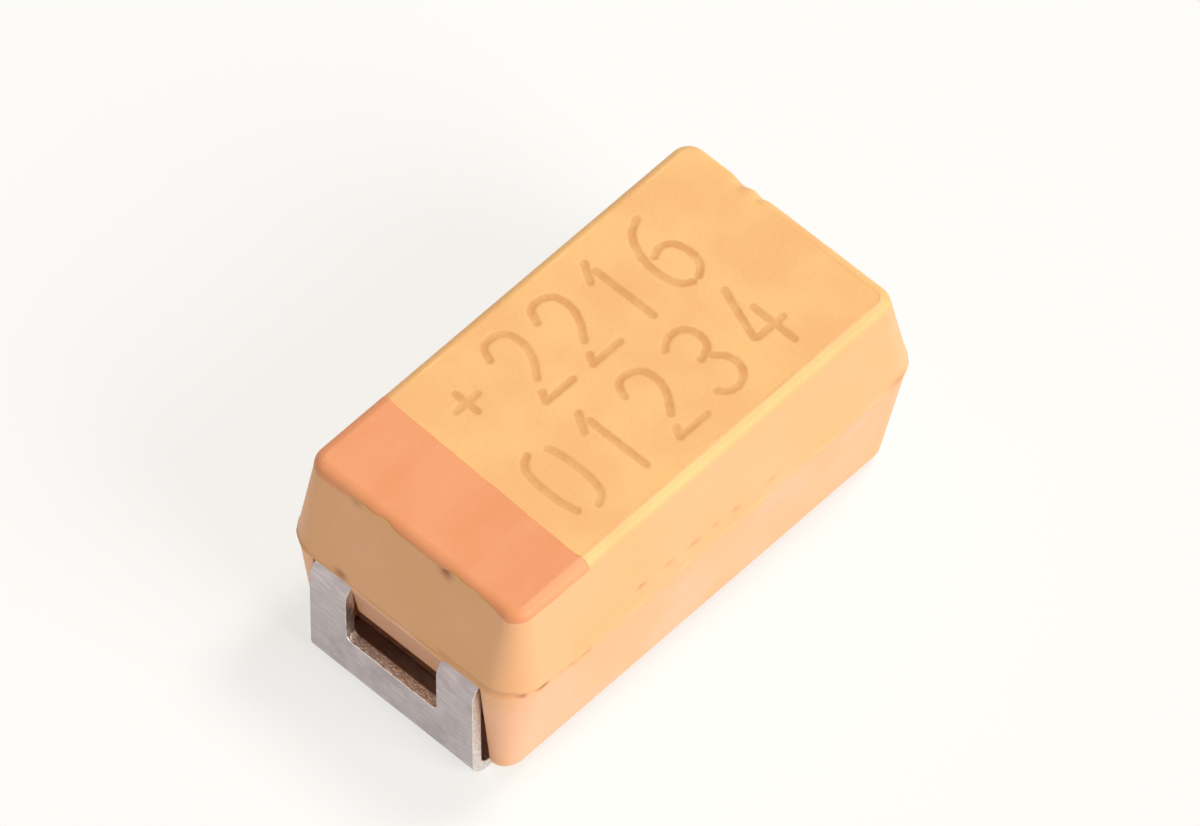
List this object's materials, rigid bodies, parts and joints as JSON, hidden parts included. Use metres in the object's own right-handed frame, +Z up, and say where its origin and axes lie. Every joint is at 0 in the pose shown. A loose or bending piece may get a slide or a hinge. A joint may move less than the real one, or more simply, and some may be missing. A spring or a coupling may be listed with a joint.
{
  "type": "tantalum capacitor",
  "caption": "Moulded tantalum chip capacitor: a coated tantalum slug on its wire and cradle in a drafted epoxy case, with folded sheet terminals and a polarity band, to solder flat on a board.",
  "frame": {"origin": "middle of the part, in the plane of the solder pads, where it stands on the board", "axes": "+X from the banded anode end to the cathode end, +Y across the part, +Z up from the board"},
  "size_m": [0.006, 0.0032, 0.0026],
  "materials": {
    "epoxy": "yellow-orange silica-filled epoxy, transfer moulded",
    "band_ink": "orange-brown printed ink",
    "tinned_sheet": "stamped lead frame sheet with a matt tin plate",
    "sintered_tantalum": "sintered tantalum powder, porous and dull grey",
    "tantalum_wire": "drawn tantalum wire",
    "ptfe": "white fluoropolymer washer",
    "manganese_dioxide": "black manganese dioxide, dull",
    "graphite": "dark grey graphite dip coat",
    "silver_paint": "silver-filled paint, matt",
    "silver_adhesive": "silver-filled epoxy adhesive"
  },
  "bodies": {
    "root": {"moulded_case": "epoxy", "polarity_band": "band_ink", "anode_terminal": "tinned_sheet", "cathode_terminal": "tinned_sheet", "tantalum_slug": "sintered_tantalum", "lead_wire": "tantalum_wire", "insulating_washer": "ptfe", "manganese_dioxide_coat": "manganese_dioxide", "graphite_coat": "graphite", "silver_coat": "silver_paint", "silver_adhesive": "silver_adhesive"}
  },
  "joints": []
}
